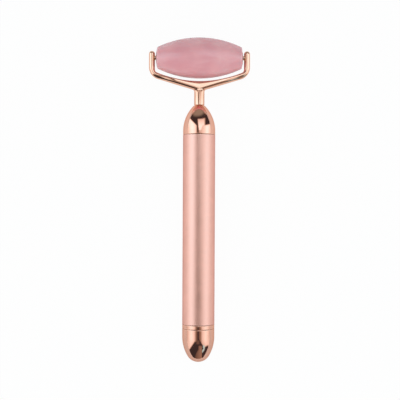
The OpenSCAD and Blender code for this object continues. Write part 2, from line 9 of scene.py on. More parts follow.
import bmesh
import bpy
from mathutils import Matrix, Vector


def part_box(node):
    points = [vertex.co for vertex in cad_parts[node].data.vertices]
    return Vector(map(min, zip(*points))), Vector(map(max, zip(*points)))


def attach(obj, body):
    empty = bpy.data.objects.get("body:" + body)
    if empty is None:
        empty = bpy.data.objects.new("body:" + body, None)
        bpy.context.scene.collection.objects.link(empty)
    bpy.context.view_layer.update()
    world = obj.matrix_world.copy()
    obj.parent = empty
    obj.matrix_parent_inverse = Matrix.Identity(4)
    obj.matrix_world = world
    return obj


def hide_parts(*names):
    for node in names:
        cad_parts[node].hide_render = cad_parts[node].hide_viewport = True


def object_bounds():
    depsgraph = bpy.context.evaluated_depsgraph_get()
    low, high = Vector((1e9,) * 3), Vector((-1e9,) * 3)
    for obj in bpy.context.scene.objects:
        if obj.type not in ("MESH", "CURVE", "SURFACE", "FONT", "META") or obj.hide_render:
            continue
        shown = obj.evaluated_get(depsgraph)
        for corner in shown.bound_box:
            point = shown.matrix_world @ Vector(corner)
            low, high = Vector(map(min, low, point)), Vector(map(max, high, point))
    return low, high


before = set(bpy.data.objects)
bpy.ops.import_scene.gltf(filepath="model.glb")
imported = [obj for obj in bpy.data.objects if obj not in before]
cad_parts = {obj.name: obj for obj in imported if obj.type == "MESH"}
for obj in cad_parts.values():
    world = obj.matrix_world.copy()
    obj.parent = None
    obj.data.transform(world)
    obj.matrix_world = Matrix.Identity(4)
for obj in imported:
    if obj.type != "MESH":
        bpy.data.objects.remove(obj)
cad_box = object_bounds()

MM = 0.001
HALF = -cad_box[0][1] / MM
AXIS_UP = -cad_box[0][2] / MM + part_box("roller_stone")[1][2] / MM / 2

# Points round a turned piece, round a wire and round an eased edge. The largest share of a side
# that an edge takes, how far its wear fades out, and the shortest side worth a point.
ROUND, WIRE_ROUND, EASE_STEPS = 144, 16, 4
SIDE_SHARE, WEAR_FADE, SHORTEST = 0.45, 0.3, 0.01


def lay(x, y, z):
    """A point of the standing drawing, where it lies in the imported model."""
    return Vector((x, z - HALF, AXIS_UP - y)) * MM


def heights(node):
    """Where a node starts and ends along the handle."""
    low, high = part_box(node)
    return low[1] / MM + HALF, high[1] / MM + HALF


def radius(node):
    """Half of a node's width across the handle."""
    low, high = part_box(node)
    return (high[0] - low[0]) / 2 / MM


# Outlines and meshes


def arc(centre, r, start, end, steps=24):
    """Points of an arc in an outline, from one angle to another in degrees, with no wear."""
    turn = [math.radians(start + (end - start) * i / steps) for i in range(steps + 1)]
    return [(centre[0] + r * math.cos(a), centre[1] + r * math.sin(a), 0) for a in turn]


def eased(corners):
    """A closed outline with its corners rounded. Each corner is (radius, height, rounding).

    Points come back as (radius, height, wear): wear is 1 on a rounding and 0 just off it.
    A point of a curve has no rounding, and goes in between the corners as it is. A rounding
    takes no more of a side than SIDE_SHARE.
    """
    points = []
    for i, (r, h, ease) in enumerate(corners):
        here = Vector((r, h))
        if not ease:
            points.append((r, h, 0))
            continue
        sides = [Vector(corners[k % len(corners)][:2]) - here for k in (i - 1, i + 1)]
        ways = [side.normalized() for side in sides]
        half = ways[0].angle(ways[1]) / 2
        cut = min([ease / math.tan(half)] + [SIDE_SHARE * side.length for side in sides])
        centre = here + (ways[0] + ways[1]).normalized() * (cut / math.cos(half))
        ends = [here + way * cut - centre for way in ways]
        sweep = ends[0].angle_signed(ends[1])
        off = [min(WEAR_FADE, SIDE_SHARE * side.length - cut) for side in sides]
        if off[0] > SHORTEST:
            points.append((*(here + ways[0] * (cut + off[0])), 0))
        for k in range(EASE_STEPS + 1):
            a = -sweep * k / EASE_STEPS
            x, y = ends[0]
            points.append((centre.x + x * math.cos(a) - y * math.sin(a),
                           centre.y + x * math.sin(a) + y * math.cos(a), 1))
        if off[1] > SHORTEST:
            points.append((*(here + ways[1] * (cut + off[1])), 0))
    return points


def new_piece(name, bm, body, slot, nodes, sharp=30):
    """Turns a bmesh into a smooth piece that rides on a body and stands for CAD nodes."""
    bmesh.ops.remove_doubles(bm, verts=bm.verts, dist=1e-8)
    bmesh.ops.recalc_face_normals(bm, faces=bm.faces)
    mesh = bpy.data.meshes.new(name)
    bm.to_mesh(mesh)
    bm.free()
    mesh.shade_smooth()
    mesh.set_sharp_from_angle(angle=math.radians(sharp))
    piece = bpy.data.objects.new(name, mesh)
    bpy.context.scene.collection.objects.link(piece)
    mesh.materials.append(finish_of(slot))
    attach(piece, body)
    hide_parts(*nodes)


def on_handle(r, h, a):
    """A point at a radius, a height and an angle round the handle's axis."""
    return lay(r * math.cos(a), r * math.sin(a), h)


def on_pivot(r, h, a):
    """As on_handle, round the stone's axis: h is measured along X from the middle."""
    return lay(h, r * math.cos(a), PIVOT_Z + r * math.sin(a))


def worn_mesh():
    """An empty mesh whose points can say how worn they are."""
    bm = bmesh.new()
    return bm, bm.verts.layers.float.new("wear")


def turned(outline, place=on_handle, carve=None, round_steps=ROUND):
    """A closed outline turned round an axis. carve(r, h, angle) may move a point in or out."""
    bm, wear = worn_mesh()
    rings = []
    for r, h, worn in outline:
        steps = 1 if r < 1e-6 else round_steps
        ring = []
        for k in range(steps):
            a = 2 * math.pi * k / round_steps
            vert = bm.verts.new(place(carve(r, h, a) if carve and steps > 1 else r, h, a))
            vert[wear] = worn
            ring.append(vert)
        rings.append(ring)
    for one, two in zip(rings, rings[1:] + rings[:1]):
        if len(one) == 1 and len(two) == 1:
            continue
        for k in range(round_steps):
            corners = [one[k % len(one)], one[(k + 1) % len(one)],
                       two[(k + 1) % len(two)], two[k % len(two)]]
            bm.faces.new(list(dict.fromkeys(corners)))
    return bm


def skin(bm, rings):
    """Faces from each ring of points to the next."""
    for one, two in zip(rings, rings[1:]):
        count = len(one)
        for k in range(count):
            bm.faces.new((one[k], one[(k + 1) % count], two[(k + 1) % count], two[k]))


def swept(path, sides_of, r):
    """A round wire along a path, with closed ends."""
    bm = worn_mesh()[0]
    rings = []
    for i, here in enumerate(path):
        way = (path[min(i + 1, len(path) - 1)] - path[max(i - 1, 0)]).normalized()
        u = (sides_of[i] - way * sides_of[i].dot(way)).normalized()
        v = way.cross(u)
        ring = []
        for k in range(WIRE_ROUND):
            a = 2 * math.pi * k / WIRE_ROUND
            ring.append(bm.verts.new(lay(*(here + (u * math.cos(a) + v * math.sin(a)) * r))))
        rings.append(ring)
    skin(bm, rings)
    bm.faces.new(rings[0])
    bm.faces.new(rings[-1])
    return bm


def smooth_step(t):
    """0 below 0, 1 above 1, and an even curve between."""
    t = min(1, max(0, t))
    return t * t * (3 - 2 * t)


def thread(low, high, pitch, depth, outward=True):
    """A screw thread between two heights, right-handed, that runs out at both ends."""
    steep, crest = 1.6, 0.3

    def carve(r, h, a):
        if not low <= h <= high:
            return r
        wave = (h / pitch - a / (2 * math.pi)) % 1
        cut = smooth_step(abs(2 * wave - 1) * steep - crest)
        room = smooth_step((h - low) / pitch) * smooth_step((high - h) / pitch)
        return r - depth * cut * room if outward else r + depth * cut * room

    return carve


def stack(r, low, high, step):
    """Points up a straight side, close enough together for a thread."""
    count = max(1, round((high - low) / step))
    return [(r, low + (high - low) * i / count, 0) for i in range(count + 1)]


# Shader tools


def add(tree, kind, inputs=None, **settings):
    """A new node with its settings and inputs. An input is a value, or a socket to link."""
    node = tree.nodes.new("ShaderNode" + kind)
    for key, value in settings.items():
        setattr(node, key, value)
    for key, value in (inputs or {}).items():
        if isinstance(value, bpy.types.NodeSocket):
            tree.links.new(value, node.inputs[key])
        else:
            node.inputs[key].default_value = value
    return node


def maths(tree, work, *values):
    """The result of a Math node."""
    return add(tree, "Math", dict(enumerate(values)), operation=work).outputs[0]


def blend_colours(tree, share, one, two):
    """The first colour where the share is 0, and the second where it is 1."""
    node = add(tree, "Mix", {0: share, 6: one, 7: two}, data_type="RGBA")
    return node.outputs[2]


def spread(tree, value, low, high, to_low=0.0, to_high=1.0, smooth=True):
    """A value from one range brought to another, and held at the ends."""
    kind = "SMOOTHSTEP" if smooth else "LINEAR"
    node = add(tree, "MapRange", {0: value, 1: low, 2: high, 3: to_low, 4: to_high},
               interpolation_type=kind)
    return node.outputs[0]


def new_group(name, takes, gives):
    """A shader node group with named sockets. Each socket is (name, kind, value)."""
    group = bpy.data.node_groups.new(name, "ShaderNodeTree")
    for title, kind, value in takes:
        socket = group.interface.new_socket(title, in_out="INPUT", socket_type="NodeSocket" + kind)
        socket.default_value = value
    for title, kind in gives:
        group.interface.new_socket(title, in_out="OUTPUT", socket_type="NodeSocket" + kind)
    return group, group.nodes.new("NodeGroupInput").outputs, group.nodes.new("NodeGroupOutput")


def used_metal_group():
    """Plating that has been handled: a worn colour on the edges, and smears in its gloss."""
    group, takes, gives = new_group(
        "used metal",
        [("Colour", "Color", (0.8, 0.8, 0.8, 1)), ("Worn Colour", "Color", (0.9, 0.9, 0.9, 1)),
         ("Wear", "Float", 0.4), ("Roughness", "Float", 0.1), ("Smears", "Float", 0.03),
         ("Smear Size", "Float", 6.0)],
        [("Colour", "Color"), ("Roughness", "Float")])
    at = add(group, "TexCoord").outputs["Object"]
    size = maths(group, "DIVIDE", 1 / MM, takes["Smear Size"])
    smear = add(group, "TexNoise", {"Vector": at, "Scale": size, "Detail": 5.0,
                                    "Roughness": 0.6, "Distortion": 0.8}).outputs[0]
    speck = add(group, "TexNoise", {"Vector": at, "Scale": 2500.0, "Detail": 2.0}).outputs[0]
    edge = add(group, "Attribute", attribute_name="wear").outputs["Fac"]
    rubbed = maths(group, "MULTIPLY", maths(group, "MULTIPLY", edge, takes["Wear"]),
                   spread(group, speck, 0.35, 0.65, 0.3, 1.0))
    tone = spread(group, smear, 0.3, 0.7, 0.965, 1.035)
    toned = add(group, "VectorMath", {0: takes["Colour"], 1: tone}, operation="MULTIPLY")
    group.links.new(blend_colours(group, rubbed, toned.outputs[0], takes["Worn Colour"]),
                    gives.inputs["Colour"])
    change = maths(group, "MULTIPLY", takes["Smears"], spread(group, smear, 0.35, 0.75, -0.5, 1.0))
    gloss = maths(group, "ADD", maths(group, "ADD", takes["Roughness"], change),
                  maths(group, "MULTIPLY", rubbed, 0.08))
    group.links.new(gloss, gives.inputs["Roughness"])
    return group


def grain_group():
    """Fine grain as a height, in two sizes, drawn out along one way of the part."""
    group, takes, gives = new_group(
        "fine grain",
        [("Grains Per Mm", "Float", 12.0), ("Stretch", "Vector", (1, 1, 1)),
         ("Coarse Share", "Float", 0.3)],
        [("Height", "Float")])
    at = add(group, "TexCoord").outputs["Object"]
    drawn = add(group, "VectorMath", {0: at, 1: takes["Stretch"]}, operation="MULTIPLY").outputs[0]
    scale = maths(group, "MULTIPLY", takes["Grains Per Mm"], 1 / MM)
    fine = add(group, "TexNoise", {"Vector": drawn, "Scale": scale, "Detail": 3.0}).outputs[0]
    coarse = add(group, "TexNoise", {"Vector": drawn, "Scale": maths(group, "MULTIPLY", scale, 0.2),
                                     "Detail": 2.0}).outputs[0]
    height = add(group, "Mix", {0: takes["Coarse Share"], 2: fine, 3: coarse}).outputs[0]
    group.links.new(height, gives.inputs["Height"])
    return group


GRAIN_DEPTH = 0.1 * MM
GROUPS = {"used metal": used_metal_group(), "fine grain": grain_group()}


def use(tree, group, **inputs):
    """The outputs of a shared effect, placed in a material with its own values."""
    node = tree.nodes.new("ShaderNodeGroup")
    node.node_tree = GROUPS[group]
    for key, value in inputs.items():
        node.inputs[key.replace("_", " ")].default_value = value
    return node.outputs


def new_finish(name):
    """An empty material, with its tree and its shader."""
    finish = bpy.data.materials.new(name)
    finish.use_nodes = True
    tree = finish.node_tree
    return finish, tree, tree.nodes["Principled BSDF"]


def metal(name, colour, worn, rough, grain, stretch=(1, 1, 1), depth=0.02, wear=0.4,
          smears=0.03, edge=(0.85, 0.64, 0.55)):
    """A metal finish: its colour, the colour of its rubbed edges, its gloss and its grain.

    edge is the tint that the metal has where it is seen along its surface.
    """
    finish, tree, shader = new_finish(name)
    used = use(tree, "used metal", Colour=(*colour, 1), Worn_Colour=(*worn, 1), Wear=wear,
               Roughness=rough, Smears=smears)
    grains = use(tree, "fine grain", Grains_Per_Mm=grain, Stretch=stretch)
    bump = add(tree, "Bump", {"Height": grains[0], "Strength": depth, "Distance": GRAIN_DEPTH})
    tree.links.new(used["Colour"], shader.inputs["Base Color"])
    tree.links.new(used["Roughness"], shader.inputs["Roughness"])
    tree.links.new(bump.outputs[0], shader.inputs["Normal"])
    shader.inputs["Metallic"].default_value = 1
    shader.inputs["Specular Tint"].default_value = (*edge, 1)
    return finish


def moulded(name, colour, tint, rough, grain=6.0, depth=0.05, subsurface=0.0):
    """Moulded plastic or rubber: two close colours in soft clouds, and a fine skin."""
    finish, tree, shader = new_finish(name)
    at = add(tree, "TexCoord").outputs["Object"]
    cloud = add(tree, "TexNoise", {"Vector": at, "Scale": 300.0, "Detail": 3.0}).outputs[0]
    grains = use(tree, "fine grain", Grains_Per_Mm=grain)
    bump = add(tree, "Bump", {"Height": grains[0], "Strength": depth, "Distance": GRAIN_DEPTH})
    share = spread(tree, cloud, 0.3, 0.7)
    tree.links.new(blend_colours(tree, share, (*colour, 1), (*tint, 1)),
                   shader.inputs["Base Color"])
    tree.links.new(spread(tree, grains[0], 0.3, 0.7, rough * 0.88, rough * 1.12),
                   shader.inputs["Roughness"])
    tree.links.new(bump.outputs[0], shader.inputs["Normal"])
    shader.inputs["Subsurface Weight"].default_value = subsurface
    shader.inputs["Subsurface Radius"].default_value = (1.0, 0.6, 0.4)
    shader.inputs["Subsurface Scale"].default_value = 0.4 * MM
    return finish


QUARTZ_DEEP, QUARTZ_MILKY = (0.680, 0.330, 0.358, 1), (0.740, 0.390, 0.412, 1)
VEIL_PINK, CRACK_PALE = (0.76, 0.46, 0.48, 1), (0.84, 0.6, 0.6, 1)
FLECK_DARK = (0.36, 0.17, 0.18, 1)


def rose_quartz():
    """Polished rose quartz: milky clouds, pale veils, faint healed cracks and a few dark specks."""
    finish, tree, shader = new_finish("polished rose quartz")
    at = add(tree, "TexCoord").outputs["Object"]
    cloud = add(tree, "TexNoise", {"Vector": at, "Scale": 85.0, "Detail": 3.0,
                                   "Roughness": 0.45, "Distortion": 0.5}).outputs[0]
    flat = add(tree, "Mapping", {"Vector": at, "Rotation": (0.3, 0.2, 0.5),
                                 "Scale": (60.0, 170.0, 110.0)}).outputs[0]
    veil = add(tree, "TexNoise", {"Vector": flat, "Scale": 1.0, "Detail": 4.0,
                                  "Roughness": 0.55, "Distortion": 0.8}).outputs[0]
    bend = add(tree, "TexNoise", {"Vector": at, "Scale": 160.0, "Detail": 2.0}).outputs[1]
    bent = add(tree, "VectorMath", {0: bend, 1: (1.1, 1.1, 1.1), 2: flat}, operation="MULTIPLY_ADD")
    crack = add(tree, "TexVoronoi", {"Vector": bent.outputs[0], "Scale": 0.8},
                feature="DISTANCE_TO_EDGE").outputs[0]
    fleck = add(tree, "TexVoronoi", {"Vector": at, "Scale": 260.0}).outputs[0]
    colour = blend_colours(tree, spread(tree, cloud, 0.3, 0.7), QUARTZ_DEEP, QUARTZ_MILKY)
    colour = blend_colours(tree, spread(tree, veil, 0.48, 0.76, 0.0, 0.4), colour, VEIL_PINK)
    healed = maths(tree, "MULTIPLY", spread(tree, crack, 0.0, 0.07, 0.16, 0.0),
                   spread(tree, cloud, 0.45, 0.65))
    colour = blend_colours(tree, healed, colour, CRACK_PALE)
    colour = blend_colours(tree, spread(tree, fleck, 0.03, 0.07, 0.25, 0.0), colour, FLECK_DARK)
    tree.links.new(colour, shader.inputs["Base Color"])
    tree.links.new(spread(tree, cloud, 0.3, 0.7, 0.20, 0.28), shader.inputs["Roughness"])
    skin = use(tree, "fine grain", Grains_Per_Mm=2.0)
    bump = add(tree, "Bump", {"Height": skin[0], "Strength": 0.02, "Distance": GRAIN_DEPTH})
    tree.links.new(bump.outputs[0], shader.inputs["Normal"])
    shader.inputs["IOR"].default_value = 1.54
    shader.inputs["Subsurface Weight"].default_value = 0.7
    shader.inputs["Subsurface Radius"].default_value = (1.0, 0.5, 0.5)
    shader.inputs["Subsurface Scale"].default_value = 5 * MM
    return finish


ROSE = (0.80, 0.44, 0.335)
MAKERS = {
    "tube_satin": lambda: metal("satin rose tube", (0.85, 0.475, 0.395), (0.88, 0.60, 0.52), 0.38,
                                grain=14, depth=0.10, wear=0.5, smears=0.04,
                                edge=(0.68, 0.50, 0.48)),
    "polished_rose": lambda: metal("polished rose plating", ROSE, (0.90, 0.60, 0.46), 0.07,
                                   grain=3, depth=0.006, smears=0.02),
    "champagne_plate": lambda: metal("polished champagne plating", (0.83, 0.50, 0.37),
                                     (0.92, 0.66, 0.52), 0.09, grain=3, depth=0.006, smears=0.02),
    "rose_quartz": rose_quartz,
    "pin_steel": lambda: metal("plated pin", (0.62, 0.36, 0.28), (0.7, 0.5, 0.4), 0.16, grain=10),
    "bushing_brass": lambda: metal("turned brass", (0.74, 0.52, 0.25), (0.85, 0.68, 0.42), 0.25,
                                   grain=20, stretch=(6, 1, 1), depth=0.05),
    "fastener_steel": lambda: metal("zinc plated steel", (0.60, 0.61, 0.60), (0.74, 0.74, 0.72),
                                    0.30, grain=6, depth=0.06, smears=0.08),
    "sleeve_plastic": lambda: moulded("white sleeve plastic", (0.80, 0.79, 0.76),
                                      (0.74, 0.73, 0.70), 0.42, subsurface=0.1),
    "holder_plastic": lambda: moulded("ivory holder plastic", (0.77, 0.73, 0.62),
                                      (0.71, 0.66, 0.55), 0.38, subsurface=0.1),
    "contact_gold": lambda: metal("gold flashed spring metal", (0.86, 0.62, 0.28),
                                  (0.93, 0.75, 0.45), 0.18, grain=9, depth=0.03),
    "lead_red": lambda: moulded("red lead cover", (0.55, 0.025, 0.025), (0.44, 0.02, 0.02), 0.32),
    "lead_black": lambda: moulded("black lead cover", (0.018, 0.018, 0.02),
                                  (0.026, 0.026, 0.028), 0.34),
    "can_steel": lambda: metal("drawn motor can", (0.63, 0.63, 0.62), (0.78, 0.78, 0.76), 0.24,
                               grain=16, stretch=(5, 0.6, 5), depth=0.06),
    "bell_plastic": lambda: moulded("pale end bell plastic", (0.76, 0.75, 0.68),
                                    (0.70, 0.69, 0.62), 0.45),
    "weight_tungsten": lambda: metal("pressed heavy weight", (0.26, 0.26, 0.27),
                                     (0.40, 0.40, 0.41), 0.46, grain=7, depth=0.20, smears=0.1),
    "cell_jacket": lambda: moulded("cell jacket film", (0.055, 0.065, 0.085),
                                   (0.075, 0.085, 0.105), 0.24, depth=0.02),
    "spring_steel": lambda: metal("nickel plated wire", (0.66, 0.65, 0.62), (0.78, 0.77, 0.74),
                                  0.20, grain=12, depth=0.05),
    "seat_brass": lambda: metal("turned brass seat", (0.72, 0.50, 0.24), (0.84, 0.66, 0.40), 0.24,
                                grain=20, stretch=(1, 6, 1), depth=0.05),
    "seal_rubber": lambda: moulded("black seal rubber", (0.014, 0.014, 0.014),
                                   (0.022, 0.021, 0.020), 0.55, grain=5, depth=0.12),
}
made = {}


def finish_of(slot):
    """The material of a slot, made once."""
    if slot not in made:
        made[slot] = MAKERS[slot]()
    return made[slot]


# Sizes that every piece shares, in millimetres

HANDLE_R = radius("handle_tube")
TUBE_LOW, TUBE_TOP = heights("handle_tube")
COLLAR_LOW, COLLAR_TOP = heights("threaded_collar")
STONE_LOW, STONE_HIGH = heights("roller_stone")
PIVOT_Z = (STONE_LOW + STONE_HIGH) / 2
STONE_R = (STONE_HIGH - STONE_LOW) / 2
ARM_R, STONE_GAP = 1.525, 0.45
STONE_HALF = radius("fork") - 2 * ARM_R - STONE_GAP
TUBE_WALL, TUBE_FIT = 0.45, 0.02
SLEEVE_R = HANDLE_R - TUBE_WALL - TUBE_FIT
SEAM, SEAM_EASE = 0.06, 0.2
BORE_R, RUNNING_FIT = 7.35, 0.04
CAP_TOP, CAP_BAND, CAP_PITCH = COLLAR_LOW - SEAM, 4.1, 1.0
STEM_R, BOLT_R, BOLT_HOLE_R, BOLT_PITCH = 2.65, 2, 2.04, 0.7
SHOULDER_DROP, POCKET_DROP = 6.2, 9.7


def handle_tube():
    """A plain tube. Its ends are eased, so that the seams show as fine lines."""
    inner, rim = HANDLE_R - TUBE_WALL, 0.06
    outline = eased([(HANDLE_R, TUBE_LOW, SEAM_EASE), (HANDLE_R, TUBE_TOP, SEAM_EASE),
                     (inner, TUBE_TOP, rim), (inner, TUBE_LOW, rim)])
    new_piece("handle_tube_satin", turned(outline), "handle", "tube_satin", ["handle_tube"])


def nose_cap():
    """A band, one arc in to the stem, and inside it the pocket, the web and the bolt's hole."""
    low, top = heights("nose_cap")
    band, wall, mouth_gap, stem_gap = 1.9, 1.2, 0.28, 0.01
    seam = TUBE_TOP + SEAM
    band_top = seam + band
    mouth_r, hole_r, pocket_r = STEM_R + mouth_gap, STEM_R + stem_gap, SLEEVE_R - wall
    pocket_z, shoulder_z = top - POCKET_DROP, top - SHOULDER_DROP
    rise = top - band_top
    inset = HANDLE_R - mouth_r
    curve_r = (inset * inset + rise * rise) / (2 * inset)
    lean = math.degrees(math.asin(rise / curve_r))
    curve = arc((HANDLE_R - curve_r, band_top), curve_r, 0, lean, 40)
    outline = eased([(pocket_r, pocket_z, 0.3), (pocket_r, low, 0.15), (SLEEVE_R, low, 0.2),
                     (SLEEVE_R, seam, 0.05), (HANDLE_R, seam, SEAM_EASE)] + curve
                    + [(hole_r, top - 0.45, 0.1), (hole_r, shoulder_z, 0.1),
                       (BOLT_HOLE_R, shoulder_z, 0.1), (BOLT_HOLE_R, pocket_z, 0.1)])
    new_piece("nose_cap_polished", turned(outline), "handle", "polished_rose", ["nose_cap"],
              sharp=35)


def threaded_collar():
    """A band between two seams, a spigot in the tube, and inside it the thread for the cap."""
    low, high = COLLAR_LOW + 1.2, COLLAR_TOP - 0.4
    seam = TUBE_LOW - SEAM
    outline = eased([(BORE_R, COLLAR_LOW, 0.15), (HANDLE_R, COLLAR_LOW, SEAM_EASE),
                     (HANDLE_R, seam, SEAM_EASE), (SLEEVE_R, seam, 0.05),
                     (SLEEVE_R, COLLAR_TOP, 0.15), (BORE_R, COLLAR_TOP, 0.1)]
                    + list(reversed(stack(BORE_R, low, high, step=0.1))))
    cut = thread(low, high, CAP_PITCH, depth=0.22, outward=False)
    carve = lambda r, h, a: cut(r, h, a) if r < BORE_R + 0.01 else r
    new_piece("threaded_collar_polished", turned(outline, carve=carve), "handle",
              "polished_rose", ["threaded_collar"], sharp=35)


def end_cap():
    """The domed cap with its threaded neck. The tip, the side and the band are tangent."""
    tip_r, band_z, floor_z = 6.4, CAP_TOP - CAP_BAND, 12.2
    neck_r, neck_wall, neck_top = BORE_R - RUNNING_FIT, 1.05, CAP_TOP + 5.5
    groove_z, groove_h, groove_depth = CAP_TOP + 0.3, 0.56, 0.54
    side_r = (HANDLE_R ** 2 + band_z ** 2 - 2 * band_z * tip_r) / (2 * (HANDLE_R - tip_r))
    side_c = (HANDLE_R - side_r, band_z)
    meet = math.degrees(math.atan2(tip_r - side_c[1], -side_c[0]))
    dome = arc((0, tip_r), tip_r, -90, meet, 30) + arc(side_c, side_r, meet, 0, 30)[1:]
    dome[0] = (0, 0, 0)
    groove_r, groove_top = neck_r - groove_depth, groove_z + groove_h
    upper = [(HANDLE_R, CAP_TOP, SEAM_EASE), (neck_r, CAP_TOP, 0.05), (neck_r, groove_z, 0.05),
             (groove_r, groove_z, 0.05), (groove_r, groove_top, 0.05), (neck_r, groove_top, 0.05)]
    low, high = groove_top + 0.3, neck_top - 0.3
    inner = neck_r - neck_wall
    inside = [(neck_r, neck_top, 0.2), (inner, neck_top, 0.15), (inner, floor_z, 0.3),
              (0, floor_z, 0)]
    outline = eased(dome + upper + stack(neck_r, low, high, step=0.08) + inside)
    cut = thread(low, high, CAP_PITCH, depth=0.34)
    carve = lambda r, h, a: cut(r, h, a) if abs(r - neck_r) < 0.01 else r
    new_piece("end_cap_polished", turned(outline, carve=carve), "cap", "polished_rose",
              ["end_cap"], sharp=35)


def o_ring():
    """A round rubber ring in the groove of the cap's neck."""
    low, high = heights("o_ring")
    r, mid = (high - low) / 2, (high + low) / 2
    outline = arc((radius("o_ring") - r, mid), r, 0, 360)[:-1]
    new_piece("sealing_ring", turned(outline), "cap", "seal_rubber", ["o_ring"])


def roller_stone():
    """The barrel is one arc, each end a slight dome, and a small round joins them."""
    end_r, dome_rise, edge = 5.1, 0.7, 0.6
    inset = STONE_R - end_r
    barrel_r = (inset ** 2 + STONE_HALF ** 2) / (2 * inset)
    dome_r = (dome_rise ** 2 + end_r ** 2) / (2 * dome_rise)
    barrel_c, dome_c = Vector((0, STONE_R - barrel_r)), Vector((STONE_HALF - dome_r, 0))
    to_barrel, to_dome = barrel_r - edge, dome_r - edge
    way = dome_c - barrel_c
    along = (to_barrel ** 2 - to_dome ** 2 + way.length_squared) / (2 * way.length)
    across = math.sqrt(to_barrel ** 2 - along ** 2)
    u = way.normalized()
    edge_c = barrel_c + u * along + Vector((u.y, -u.x)) * across
    angle = lambda a, b: math.degrees(math.atan2(a.y - b.y, a.x - b.x))
    a, b = angle(edge_c, barrel_c), angle(edge_c, dome_c)
    bushing_in, bushing_len, fit = 0.3, 5.6, 0.01
    hole_r, seat = 2.11, STONE_HALF - bushing_in - bushing_len - fit
    hole = math.degrees(math.asin(hole_r / dome_r))
    half = arc(barrel_c, barrel_r, 90, a, 48) + arc(edge_c, edge, a, b, 8)[1:]
    half += arc(dome_c, dome_r, b, hole, 16)[1:]
    half = [(y, x, w) for x, y, w in half] + [(hole_r, seat, 0), (0, seat, 0)]
    outline = list(reversed(half)) + [(r, -h, w) for r, h, w in half[1:]]
    new_piece("roller_stone_quartz", turned(outline, on_pivot, round_steps=192), "roller",
              "rose_quartz", ["roller_stone"])


# The fork: an arm, a corner and half of the bow on each side, and a turned stem

IN_X = STONE_HALF + STONE_GAP
OUT_X = IN_X + 2 * ARM_R
BOW_Z = STONE_LOW - 1.45
BOW_H, BOW_R, BOW_SLOPE, BOW_DEPTH = 5.25, 56, 16.4, 2.7
APEX_Z = BOW_Z - BOW_H
BOW_SQUARE, BOW_LEAN, CORNER_LEAN, BOW_SWELL = 3.5, 0.3, 0.2, 0.45
CORNER_IN_R, CORNER_OUT_R, CORNER_DEPTH = 1.8, 6.4, 1.1 * ARM_R
FORK_SIDES, TIP_TURN = 56, 88
TIP_STEPS, ARM_STEPS, CORNER_STEPS, BOW_STEPS = 10, 12, 24, 40


def on_circle(c, r, a):
    """A point of a circle, at an angle in degrees."""
    return Vector((c[0] + r * math.cos(math.radians(a)), c[1] + r * math.sin(math.radians(a))))


def fork_rings():
    """Rings of one half of the fork, from the arm's tip to the middle of the bow.

    Each comes from an inner and an outer point, a depth, a share of full size, how square the
    ring is, where 2 is an ellipse, and how far its ridge leans towards the outer point.
    """
    tip_z = heights("fork")[1]
    bow_c = Vector((0, BOW_Z + BOW_R))
    in_x, out_x = IN_X - CORNER_IN_R, OUT_X - CORNER_OUT_R
    in_c = Vector((in_x, bow_c.y - math.sqrt((BOW_R - CORNER_IN_R) ** 2 - in_x ** 2)))
    in_a = math.degrees(math.atan2(in_c.y - bow_c.y, in_c.x))
    tilt = math.radians(BOW_SLOPE)
    out_c = Vector((out_x, APEX_Z + math.tan(tilt) * out_x + CORNER_OUT_R / math.cos(tilt)))
    out_a = BOW_SLOPE - 90
    pairs = []
    for i in range(TIP_STEPS + 1):
        a = math.radians(TIP_TURN * (1 - i / TIP_STEPS))
        z = tip_z - ARM_R * (1 - math.sin(a))
        pairs.append((Vector((IN_X, z)), Vector((OUT_X, z)), ARM_R, math.cos(a), 2, 0))
    z = tip_z - ARM_R
    for i in range(1, ARM_STEPS + 1):
        t = i / ARM_STEPS
        pairs.append((Vector((IN_X, z + (in_c.y - z) * t)), Vector((OUT_X, z + (out_c.y - z) * t)),
                      ARM_R, 1, 2, 0))
    for i in range(1, CORNER_STEPS + 1):
        t = i / CORNER_STEPS
        pairs.append((on_circle(in_c, CORNER_IN_R, in_a * t),
                      on_circle(out_c, CORNER_OUT_R, out_a * t),
                      ARM_R + (CORNER_DEPTH - ARM_R) * t, 1, 2, -CORNER_LEAN * t))
    corner = on_circle(out_c, CORNER_OUT_R, out_a)
    for i in range(1, BOW_STEPS + 1):
        t = i / BOW_STEPS
        swell = smooth_step(t / BOW_SWELL)
        pairs.append((on_circle(bow_c, BOW_R, in_a + (-90 - in_a) * t),
                      corner.lerp(Vector((0, APEX_Z)), t),
                      CORNER_DEPTH + (BOW_DEPTH - CORNER_DEPTH) * swell, 1,
                      2 + (BOW_SQUARE - 2) * swell,
                      -CORNER_LEAN + (BOW_LEAN + CORNER_LEAN) * max(0, 2 * t - 1)))
    rings = []
    for inner, outer, depth, share, square, lean in pairs:
        mid, half = (inner + outer) / 2, (outer - inner) / 2 * share
        ring = []
        for k in range(FORK_SIDES):
            a = 2 * math.pi * k / FORK_SIDES
            c, s = math.cos(a), math.sin(a)
            r = (abs(c) ** square + abs(s) ** square) ** (-1 / square)
            across = r * c + lean * (1 - (r * c) ** 2)
            ring.append((mid.x + across * half.x, -r * s * depth * share,
                         mid.y + across * half.y))
        rings.append(ring)
    return rings


def fork_loft():
    """Both arms, both corners and the bow as one mesh, closed at the arms' tips."""
    half = fork_rings()
    bm = worn_mesh()[0]
    rings = [[bm.verts.new(lay(*p)) for p in ring]
             for ring in half + [[(-x, y, z) for x, y, z in ring] for ring in reversed(half[:-1])]]
    skin(bm, rings)
    for ring in (rings[0], rings[-1]):
        middle = bm.verts.new(sum((v.co for v in ring), Vector()) / FORK_SIDES)
        for k in range(FORK_SIDES):
            bm.faces.new((ring[k], ring[(k + 1) % FORK_SIDES], middle))
    return bm


